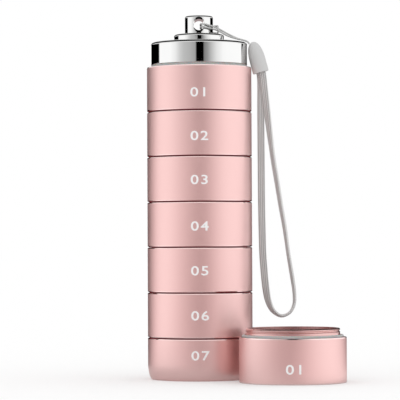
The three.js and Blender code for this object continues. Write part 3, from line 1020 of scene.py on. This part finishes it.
def add_tent():
    """A light tent round the object and on the floor: white and rose-grey paper with black strips."""
    vertices, faces = [], []
    for k in range(TENT_SEGMENTS):
        angle = 2 * math.pi * k / TENT_SEGMENTS
        from_front = abs((angle + math.pi) % (2 * math.pi) - math.pi)
        share = min(1.0, max(0.0, (from_front - TENT_BACK_FROM) / (TENT_BACK_TO - TENT_BACK_FROM)))
        top = TENT_FRONT_HEIGHT + (TENT_BACK_HEIGHT - TENT_FRONT_HEIGHT) * share
        x, y = TENT_RADIUS * math.sin(angle), -TENT_RADIUS * math.cos(angle)
        vertices += [(x, y, TENT_FOOT), (x, y, top)]
        n = (k + 1) % TENT_SEGMENTS
        faces.append((2 * k, 2 * k + 1, 2 * n + 1, 2 * n))
    for k in range(TENT_SEGMENTS):
        angle = 2 * math.pi * k / TENT_SEGMENTS
        vertices.append((TENT_RUG_RADIUS * math.sin(angle), -TENT_RUG_RADIUS * math.cos(angle), TENT_FOOT))
        n = (k + 1) % TENT_SEGMENTS
        faces.append((2 * k, 2 * n, 2 * TENT_SEGMENTS + n, 2 * TENT_SEGMENTS + k))
    mesh = bpy.data.meshes.new("light_tent")
    mesh.from_pydata(vertices, [], faces)
    tent = linked("light_tent", mesh)
    material = bpy.data.materials.new("light_tent")
    material.use_nodes = True
    tree = material.node_tree
    nodes, links = tree.nodes, tree.links
    nodes.clear()
    place = nodes.new("ShaderNodeTexCoord")
    parts = nodes.new("ShaderNodeSeparateXYZ")
    links.new(place.outputs["Object"], parts.inputs["Vector"])
    front = math_node(tree, "MULTIPLY", parts.outputs["Y"], -1)
    share = nodes.new("ShaderNodeMapRange")
    share.inputs["From Min"].default_value = -math.pi
    share.inputs["From Max"].default_value = math.pi
    links.new(math_node(tree, "ARCTAN2", parts.outputs["X"], front), share.inputs["Value"])
    colour = None
    for fade_from, fade_to, tones in [(0, 0, TONES_NEAR_FLOOR)] + TENT_BANDS:
        ramp = nodes.new("ShaderNodeValToRGB")
        rose = TENT_ROSE if tones in (TONES_NEAR_FLOOR, TONES_FOR_CUPS) else 0
        set_tones(ramp, [((degrees + 180) / 360, tone) for degrees, tone in tones], rose)
        links.new(share.outputs["Result"], ramp.inputs["Fac"])
        if colour is None:
            colour = ramp.outputs["Color"]
            continue
        rise = nodes.new("ShaderNodeMapRange")
        rise.inputs["From Min"].default_value = fade_from
        rise.inputs["From Max"].default_value = fade_to
        links.new(parts.outputs["Z"], rise.inputs["Value"])
        mix = nodes.new("ShaderNodeMixRGB")
        links.new(rise.outputs["Result"], mix.inputs["Fac"])
        links.new(colour, mix.inputs["Color1"])
        links.new(ramp.outputs["Color"], mix.inputs["Color2"])
        colour = mix.outputs["Color"]
    glow = nodes.new("ShaderNodeEmission")
    glow.inputs["Strength"].default_value = TENT_STRENGTH
    links.new(colour, glow.inputs["Color"])
    output = nodes.new("ShaderNodeOutputMaterial")
    links.new(glow.outputs["Emission"], output.inputs["Surface"])
    material.cycles.emission_sampling = "NONE"
    mesh.materials.append(material)
    tent.visible_camera = False
    tent.visible_diffuse = False
    tent.visible_transmission = False
    tent.visible_shadow = False


def seen_directly(tree, path):
    """1 for camera, glossy and transmission rays, and 0 for the rays that light surfaces."""
    seen = math_node(tree, "MAXIMUM", path.outputs["Is Camera Ray"], path.outputs["Is Glossy Ray"])
    return math_node(tree, "MAXIMUM", seen, path.outputs["Is Transmission Ray"])


def add_floor():
    """A wide matte floor, darker where glossy surfaces reflect it and with a faint glow where it is seen."""
    vertices = [(0.0, 0.0, 0.0)]
    for k in range(FLOOR_SEGMENTS):
        angle = 2 * math.pi * k / FLOOR_SEGMENTS
        vertices.append((FLOOR_RADIUS * math.cos(angle), FLOOR_RADIUS * math.sin(angle), 0.0))
    faces = [(0, 1 + k, 1 + (k + 1) % FLOOR_SEGMENTS) for k in range(FLOOR_SEGMENTS)]
    mesh = bpy.data.meshes.new("floor")
    mesh.from_pydata(vertices, [], faces)
    floor = linked("floor", mesh)
    material = bpy.data.materials.new("floor_paper")
    material.use_nodes = True
    tree = material.node_tree
    nodes, links = tree.nodes, tree.links
    paper = nodes["Principled BSDF"]
    path = nodes.new("ShaderNodeLightPath")
    tone = nodes.new("ShaderNodeMixRGB")
    tone.inputs["Color1"].default_value = (FLOOR_TONE, FLOOR_TONE, FLOOR_TONE, 1)
    tone.inputs["Color2"].default_value = (FLOOR_GLOSSY_TONE, FLOOR_GLOSSY_TONE, FLOOR_GLOSSY_TONE, 1)
    links.new(path.outputs["Is Glossy Ray"], tone.inputs["Fac"])
    links.new(tone.outputs["Color"], paper.inputs["Base Color"])
    paper.inputs["Roughness"].default_value = 1.0
    paper.inputs["Specular IOR Level"].default_value = 0.0
    paper.inputs["Emission Color"].default_value = (1, 1, 1, 1)
    glow = math_node(tree, "MULTIPLY", seen_directly(tree, path), FLOOR_GLOW)
    links.new(glow, paper.inputs["Emission Strength"])
    mesh.materials.append(material)


def add_world():
    """Even white light, and a sky with a bright arch and a dark top where glossy surfaces reflect it."""
    world = bpy.data.worlds.new("studio")
    world.use_nodes = True
    tree = world.node_tree
    nodes, links = tree.nodes, tree.links
    place = nodes.new("ShaderNodeTexCoord")
    parts = nodes.new("ShaderNodeSeparateXYZ")
    links.new(place.outputs["Generated"], parts.inputs["Vector"])
    twice_back = math_node(tree, "MULTIPLY", parts.outputs["Y"], 2)
    away = math_node(tree, "MAXIMUM", math_node(tree, "SUBTRACT", 2, twice_back), SKY_LEAST)
    facing_up = math_node(tree, "DIVIDE", parts.outputs["Z"], math_node(tree, "SQRT", away))
    ramp = nodes.new("ShaderNodeValToRGB")
    set_tones(ramp, SKY_TONES)
    links.new(facing_up, ramp.inputs["Fac"])
    path = nodes.new("ShaderNodeLightPath")
    mix = nodes.new("ShaderNodeMixRGB")
    mix.inputs["Color1"].default_value = (LIGHT_STRENGTH, LIGHT_STRENGTH, LIGHT_STRENGTH, 1)
    links.new(path.outputs["Is Glossy Ray"], mix.inputs["Fac"])
    links.new(ramp.outputs["Color"], mix.inputs["Color2"])
    links.new(mix.outputs["Color"], nodes["Background"].inputs["Color"])
    world.cycles.sampling_method = "NONE"
    bpy.context.scene.world = world


def main():
    add_camera()
    materials = {
        "pink": anodised_pink(),
        "cut": cut_pink(),
        "turned": turned_pink(),
        # a dark rose that is painted shade inside the seams and round the seals
        "shade_paint": painted_shade_pink(),
        "chrome": mirror_chrome(),
        "steel": turned_steel(),
        "silicone": white_silicone(),
        "soft": soft_grey(),
        "thread": grey_thread(),
        "webbing": grey_webbing(),
        "ink": number_ink(),
    }
    add_lanyard(materials)
    for number in range(1, CUP_COUNT + 1):
        add_cup(number, f"cup_{number}", f"cup_{number}", materials)
        add_seal(f"seal_{number}", f"seal_{number}", materials["silicone"])
    add_cup(1, "loose_cup", "loose_cup", materials)
    add_seal("loose_seal", "loose_cup", materials["silicone"], squeezed=False)
    add_cap(materials)
    add_tent()
    add_floor()
    add_world()
    bpy.context.scene.view_settings.view_transform = "Standard"


main()
